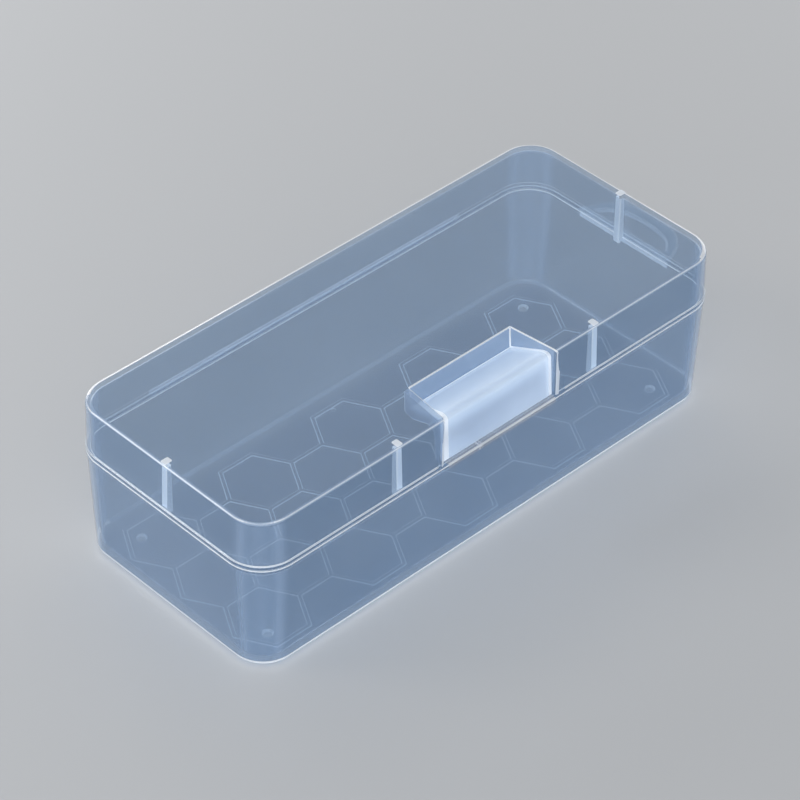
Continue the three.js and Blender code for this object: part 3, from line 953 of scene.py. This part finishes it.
# Locating fins, one on each end wall and two on the front wall
fin = {
    "reach": 3.6,
    "thickness": 2.1,
    "entry": 1.5,
    "entryInset": 2.3,
    "root": 0.7,
    "x": 37.75,
    "chamfer": 0.9,
    "heelRound": 0.2,
    "edgeRound": 0.3,
    "roundAngle": 60,
    "roundReach": 1.5,
    "capInset": 0.9,
    "capReach": 4.0,
    "capRise": 0.06,
    "capSink": 0.3,
    "capRearRound": 0.3,
    "capFrontRound": 0.5,
}


def makeFin(turn, x, y):
    # Built as the fin of a wall at X 0 that looks along +X, then turned and moved to its wall
    bottom, top = tub["height"] - fin["entry"], boxTop - lid["top"] / 2
    wallAt = lid["lipReach"] + lid["draft"] / 2
    outline = softPath([
        (wallAt + fin["root"], top, 0),
        (wallAt + fin["root"], lidLow + lid["lipHeight"] / 2, 0),
        (fin["entryInset"], tub["height"], 0),
        (fin["entryInset"], bottom, fin["heelRound"]),
        (fin["reach"], bottom, fin["chamfer"]),
        (fin["reach"], top, 0),
    ], closed=True)
    half = fin["thickness"] / 2
    piece = throughRings("fin", [[(a, b, z) for a, z in outline] for b in (-half, half)], ribFace)
    fromX = fin["reach"] - fin["roundReach"]
    roundEdges(piece, fin["edgeRound"], fin["roundAngle"],
               chosen=lambda a, b, z: a > fromX and abs(b) > half - near and z < top - near)
    # The fin shows in the lid's top face too, as a faint rise.
    start, end = wallAt + fin["capInset"], fin["capReach"]
    rear, front = fin["capRearRound"], fin["capFrontRound"]
    cap = [(start, -half, rear), (end, -half, front), (end, half, front), (start, half, rear)]
    cap = upZ("finCap", softPath(cap, closed=True), top - fin["capSink"], boxTop + fin["capRise"], ribFace)
    combine(piece, cap, "UNION")
    move = Matrix.Translation((x * millimetre, y * millimetre, 0))
    piece.data.transform(move @ Matrix.Rotation(turn, 4, "Z"))
    return piece


def onSleeveSide(x, y, z):
    slack = pocket["sideSlack"]
    return (abs(x) > pocket["rearHalf"] + slack and lidLow + near < z < boxTop - lid["top"]
            and y > frontY + pocket["faceInset"] + slack)


def onHollowSide(x, y, z):
    slack = pocket["sideSlack"]
    return (abs(x) > pocket["rearHalf"] - 2 * slack and lidLow + near < z < boxTop + slack
            and y > frontY + pocket["faceInset"] - slack)


def onPocketMouth(x, y, z):
    return (abs(x) < pocket["frontHalf"] + pocket["mouthAside"] and y < pocketBackY + pocket["mouthBehind"]
            and z > boxTop - pocket["mouthBelow"])


def makeLid():
    # The pocket's sleeve and the fins join the shell, and then the hollow is cut.
    shell = makeLidShell()
    widest = pocket["frontHalf"] + pocket["mouthFlare"] * 2 + overrun
    sleeve = alongX("pocketSleeve", pocketInnerProfile(), widest)
    plan = upZ("sleevePlan", pocketPlan(pocket["wall"]), lidLow - overrun, boxTop + overrun)
    combine(sleeve, plan, "INTERSECT")
    roundEdges(sleeve, pocket["outerRound"], pocket["roundAngle"], chosen=onSleeveSide)
    # The sleeve ends within the lid's wall.
    capInward = lidWallAt(boxTop) + lid["sleeveCap"]
    corners = [(capInward, lidLow, 0)] + lidOuterCorners(lid["sleeveInset"], capInward)
    limit = throughRings("sleeveLimit", [lidRing(*point) for point in softPath(corners)])
    combine(sleeve, limit, "INTERSECT")
    combine(shell, sleeve, "UNION")
    quarter = math.pi / 2
    for turn, x, y in ((2 * quarter, endX, 0), (0, -endX, 0), (quarter, -fin["x"], frontY),
                       (quarter, fin["x"], frontY)):
        combine(shell, makeFin(turn, x, y), "UNION")
    hollow = alongX("pocketHollow", pocketProfile(), widest + overrun)
    plan = upZ("hollowPlan", pocketPlan(0), lidLow - 2 * overrun, boxTop + 2 * overrun)
    combine(hollow, plan, "INTERSECT")
    roundEdges(hollow, pocket["innerRound"], pocket["roundAngle"], chosen=onHollowSide)
    combine(shell, hollow, "DIFFERENCE")
    roundEdges(shell, pocket["mouthRound"], pocket["mouthAngle"], chosen=onPocketMouth)
    return shell


# Where the lid gets painted highlights: reaches in millimetres, turns in degrees, parts of a normal and
# shares of the painted highlight
lidHighlights = {
    "mouthAside": (-0.1, 1.8),
    "mouthInward": (-0.5, 1.7),
    "mouthOver": 1,
    "lineTurns": (3, 16, 72, 85),
    "frontInward": 0.3,
    "line": 0.8,
    "betweenLines": 0.05,
    "wallSlack": 0.3,
    "pocketInward": 0.6,
    "pocketNormal": 0.7,
    "pocketShare": 0.24,
    "wallOver": 2,
    "uprightNormal": 0.1,
    "leastOutward": 0.05,
    "wideLineFrom": 0.9,
    "wideLineNormal": 0.55,
}


def mouthHighlightOf(normal, inward):
    # Two painted highlight lines run down each flared corner of the pocket's mouth.
    firstFrom, firstTo, secondFrom, secondTo = lidHighlights["lineTurns"]
    turn = math.degrees(math.atan2(abs(normal.x), -normal.y))
    onFirst = firstFrom < turn and (turn < firstTo or inward < lidHighlights["frontInward"])
    return lidHighlights["line"] if onFirst or secondFrom < turn < secondTo else lidHighlights["betweenLines"]


def paintLidHighlights(spot, normal, share):
    at, roundLow = lidHighlights, boxTop - lid["topRound"]
    aside, inward = abs(spot.x) - pocket["frontHalf"], spot.y - frontY - lidWallAt(spot.z)
    onMouth = within(aside, at["mouthAside"]) and within(inward, at["mouthInward"])
    if onMouth and lidLow + at["mouthOver"] < spot.z < roundLow:
        return mouthHighlightOf(normal, inward)
    # The pocket's side walls get at least a faint painted highlight.
    reach = pocket["wall"] + at["wallSlack"]
    besidePocket = aside < reach and inward > at["pocketInward"] and spot.y < pocketBackY + reach
    if besidePocket and abs(normal.z) < at["pocketNormal"]:
        return max(share, at["pocketShare"])
    # Painted glow and highlight streaks on the upright corners
    if lidLow + at["wallOver"] < spot.z < roundLow and abs(normal.z) < at["uprightNormal"]:
        share = max(share, cornerHighlightOf(normal))
    outward = normal.x * spot.x / endX + normal.y * spot.y / backY
    if spot.z < roundLow or outward < at["leastOutward"] or onPocketMouth(*spot):
        return share
    # The back and right top edges get a full-strength painted highlight, so their line is wider.
    if max(spot.x / endX, spot.y / backY) > at["wideLineFrom"] and normal.z > at["wideLineNormal"]:
        return 1
    # Elsewhere on the top rounding, a thin painted highlight line
    return highlightLineOf(normal)


lidShell = makeLid()
smoothFaces(lidShell, highlightPainter=paintLidHighlights)
place(lidShell, "lid", "clear_wall", "lid_shell")
print("lid built:", len(lidShell.data.polygons), "faces")


# Latch flap
flap = {
    "thickness": 1.05,
    "faceGap": 0.3,
    "endGap": 0.3,
    "rearGap": 0.55,
    "bottomGap": 0.4,
    "kneeDrop": 1.7,
    "rearTopDrop": 6.1,
    "kneeInset": 4.9,
    "kneeRound": 1.4,
    "kneeInnerRound": 1.4 * 2 / 3,
    "kneeBackRound": 3.0,
    "kneeUnderRound": 1.5,
    "rimRound": 0.25,
    "tipRound": 0.3,
    "edgeRound": 0.28,
    "roundAngle": 60,
    "leftBand": 2.2,
    "rightBand": 1.3,
    "rearBand": 0.75,
    "bandSlack": 1.2,
    "endNormal": 0.9,
    "leftShare": 0.85,
    "rightShare": 0.75,
}
flapRearY = pocketBackY - pocket["rearLean"] - flap["rearGap"]


def flapInnerY(z):
    return faceY(z) - flap["faceGap"]


def flapHalfAt(y):
    grow = (pocket["frontHalf"] - pocket["rearHalf"]) / (pocket["reach"] - pocket["faceInset"])
    return pocket["rearHalf"] - flap["endGap"] + grow * (pocketBackY - y)


def makeFlap():
    lowZ, kneeZ = tub["height"] + flap["bottomGap"], boxTop - flap["kneeDrop"]
    kneeBackY, rearTopZ = frontY + flap["kneeInset"], boxTop - flap["rearTopDrop"]
    thick, band = flap["thickness"], flap["rearBand"]
    slope = (kneeZ - rearTopZ) / (flapRearY - kneeBackY)
    kneeUnderZ = kneeZ - thick
    profile = softPath([
        (flapInnerY(lowZ), lowZ, flap["rimRound"]),
        (flapInnerY(kneeUnderZ), kneeUnderZ, flap["kneeInnerRound"]),
        (kneeBackY + thick / 2, kneeUnderZ - slope * thick / 2, flap["kneeUnderRound"]),
        (flapRearY, kneeUnderZ - slope * (flapRearY - kneeBackY), flap["tipRound"]),
        (flapRearY, rearTopZ, flap["tipRound"]),
        (flapRearY - band, rearTopZ + slope * band, 0),
        (kneeBackY, kneeZ, flap["kneeBackRound"]),
        (flapInnerY(kneeZ) - thick, kneeZ, flap["kneeRound"]),
        (flapInnerY(lowZ) - thick, lowZ, flap["rimRound"]),
    ], closed=True)
    stations = [(-1, 0), (-1, flap["leftBand"]), (1, flap["rightBand"]), (1, 0)]
    rings = [[(side * (flapHalfAt(y) - inset), y, z) for y, z in profile] for side, inset in stations]
    piece = throughRings("latchFlap", rings, milkyFace)
    roundEdges(piece, flap["edgeRound"], flap["roundAngle"])
    return piece


def paintFlapHighlights(spot, normal, share):
    # Painted highlight bands at the flap's ends and a painted highlight line along its rear edge.
    left, right = spot.x + pocket["frontHalf"], pocket["frontHalf"] - spot.x
    alongEnd = abs(normal.x) < flap["endNormal"]
    if alongEnd and left < flap["leftBand"] + flap["bandSlack"]:
        return max(share, flap["leftShare"])
    if alongEnd and right < flap["rightBand"] + flap["bandSlack"]:
        return max(share, flap["rightShare"])
    return 1 if spot.y > flapRearY - flap["rearBand"] else share


latchFlap = makeFlap()
smoothFaces(latchFlap, highlightPainter=paintFlapHighlights)
place(latchFlap, "latch", "milky_flap", "latch_flap")
print("flap built:", len(latchFlap.data.polygons), "faces")


# Hinge films
film = {"thickness": 0.3, "seat": 0.05, "angle": 50}
lidFilm = {
    "length": 120,
    "lengthSteps": 24,
    "reach": 0.9,
    "halfHeight": 1.15,
    "bendSteps": 20,
    "endRib": 0.8,
    "endSwell": 0.12,
    "swellShare": 0.7,
}
latchFilm = {
    "length": 41.4,
    "drop": 0.9,
    "bendBelow": 0.2,
    "bendRound": 0.32,
    "bendSteps": 8,
    "flatSteps": 5,
    "nubX": -8.5,
    "nubHalf": 0.65,
    "nubSwell": 0.25,
    "nubTopShare": 0.6,
}


def bentStrip(name, line, stations, finish):
    # A strip along X whose section is the line, thickened to both sides, with stations of (x, thickness)
    rings = []
    for x, thickness in stations:
        left, right = [], []
        for i, spot in enumerate(line):
            along = (Vector(line[min(i + 1, len(line) - 1)]) - Vector(line[max(i - 1, 0)])).normalized()
            side = Vector((-along.y, along.x)) * thickness / 2
            left.append((x, spot[0] + side.x, spot[1] + side.y))
            right.append((x, spot[0] - side.x, spot[1] - side.y))
        rings.append(left + right[::-1])
    piece = throughRings(name, rings)
    piece.data.materials.clear()
    piece.data.materials.append(finish)
    return piece


def makeLidFilm():
    # A half round behind both rims, with a thicker rib at each end
    half, rib, thick = lidFilm["length"] / 2, lidFilm["endRib"], film["thickness"]
    axisZ, seatY = tub["height"] + lid["gap"] / 2, backY + film["seat"]
    reachY, reachZ = lidFilm["reach"] - thick / 2, lidFilm["halfHeight"] - thick / 2
    turns = [-math.pi / 2 + math.pi * step / lidFilm["bendSteps"] for step in range(lidFilm["bendSteps"] + 1)]
    line = [(seatY + reachY * math.cos(turn), axisZ + reachZ * math.sin(turn)) for turn in turns]
    swell, swellEnd = thick + lidFilm["endSwell"], half - rib * lidFilm["swellShare"]
    count = lidFilm["lengthSteps"]
    stations = [(-half, swell), (-swellEnd, swell), (-half + rib, thick)]
    stations += [(-half + rib + (lidFilm["length"] - 2 * rib) * i / count, thick) for i in range(1, count)]
    stations += [(half - rib, thick), (swellEnd, swell), (half, swell)]
    return bentStrip("lidHingeFilm", line, stations, filmFinish)


def makeLatchFilm():
    # Up the tub's front rim and in under the flap, with a small nub
    half, thick, rimZ = latchFilm["length"] / 2, film["thickness"], tub["height"]
    middleY, topZ = frontY - film["seat"] - thick / 2, rimZ + flap["bottomGap"]
    flapY = flapInnerY(topZ) - flap["thickness"] - film["seat"] * 2
    bend = [
        (middleY, rimZ - latchFilm["bendBelow"], 0),
        (middleY, topZ, latchFilm["bendRound"]),
        (flapY, topZ, 0),
    ]
    line = [(middleY, rimZ - latchFilm["drop"]), (middleY, rimZ - latchFilm["drop"] / 2)]
    line += softPath(bend, quarterSteps=latchFilm["bendSteps"])[:-1]
    bendY, count = line[-1][0], latchFilm["flatSteps"]
    line += [(bendY + (flapY - bendY) * i / count, topZ) for i in range(1, count + 1)]
    nubX, nubFoot, swell = latchFilm["nubX"], latchFilm["nubHalf"], thick + latchFilm["nubSwell"]
    nubTop = nubFoot * latchFilm["nubTopShare"]
    stations = [(-half, thick), (nubX - nubFoot, thick), (nubX - nubTop, swell), (nubX + nubTop, swell),
                (nubX + nubFoot, thick), (half, thick)]
    return bentStrip("latchHingeFilm", line, stations, latchFilmFinish)


lidHingeFilm, latchHingeFilm = makeLidFilm(), makeLatchFilm()
smoothFaces(lidHingeFilm, film["angle"], weighted=False)
smoothFaces(latchHingeFilm, film["angle"], weighted=False)
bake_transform(lidHingeFilm)
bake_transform(latchHingeFilm)
for piece, node in ((lidHingeFilm, "lid_hinge_film"), (latchHingeFilm, "latch_hinge_film")):
    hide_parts(node)
print("films built")


# Floor, lamps and sky
studio = {
    "floorHalf": 3,
    "floorTint": (0.53, 0.545, 0.565),
    "floorRoughness": 0.6,
    "skyStrength": 0.3,
    "aim": (0, 0, 0.03),
    "lamps": [
        # place, size, power
        ((-0.66, 0.62, 0.62), 0.35, 3.2),
        ((0.3, 1.15, 0.3), 0.65, 6.5),
        ((1.15, 0.3, 0.3), 0.65, 4.5),
        ((-0.8, -0.8, 0.75), 1.1, 8.0),
    ],
}


def addStudio():
    half = studio["floorHalf"]
    mesh = bpy.data.meshes.new("paleFloor")
    low = -foot["height"] * millimetre
    corners = [(-half, -half, low), (half, -half, low), (half, half, low), (-half, half, low)]
    mesh.from_pydata(corners, [], [(0, 1, 2, 3)])
    floor = addObject("paleFloor", mesh)
    material = bpy.data.materials.new("paleFloor")
    material.use_nodes = True
    surface = material.node_tree.nodes["Principled BSDF"]
    surface.inputs["Base Color"].default_value = (*studio["floorTint"], 1)
    surface.inputs["Roughness"].default_value = studio["floorRoughness"]
    mesh.materials.append(material)
    for i, (spot, size, power) in enumerate(studio["lamps"]):
        data = bpy.data.lights.new(f"softbox{i}", "AREA")
        data.shape, data.size, data.energy = "SQUARE", size, power
        lamp = addObject(f"softbox{i}", data)
        lamp.location = spot
        lamp.rotation_euler = (Vector(studio["aim"]) - Vector(spot)).to_track_quat("-Z", "Y").to_euler()
    world = bpy.data.worlds.new("paleSky")
    world.use_nodes = True
    # What is seen of the sky, straight or mirrored, is white. What it sheds on the box is weaker.
    tree = world.node_tree
    path = tree.nodes.new("ShaderNodeLightPath").outputs
    seen = mathOf(tree, "MAXIMUM", path["Is Camera Ray"],
                  mathOf(tree, "MAXIMUM", path["Is Glossy Ray"], path["Is Transmission Ray"]))
    wire(tree, mathOf(tree, "MULTIPLY_ADD", seen, 1 - studio["skyStrength"], studio["skyStrength"]),
         tree.nodes["Background"].inputs["Strength"])
    tree.nodes["Background"].inputs["Color"].default_value = (1, 1, 1, 1)
    bpy.context.scene.world = world


addStudio()
bpy.context.scene.view_settings.view_transform = "Standard"
print("studio lit")
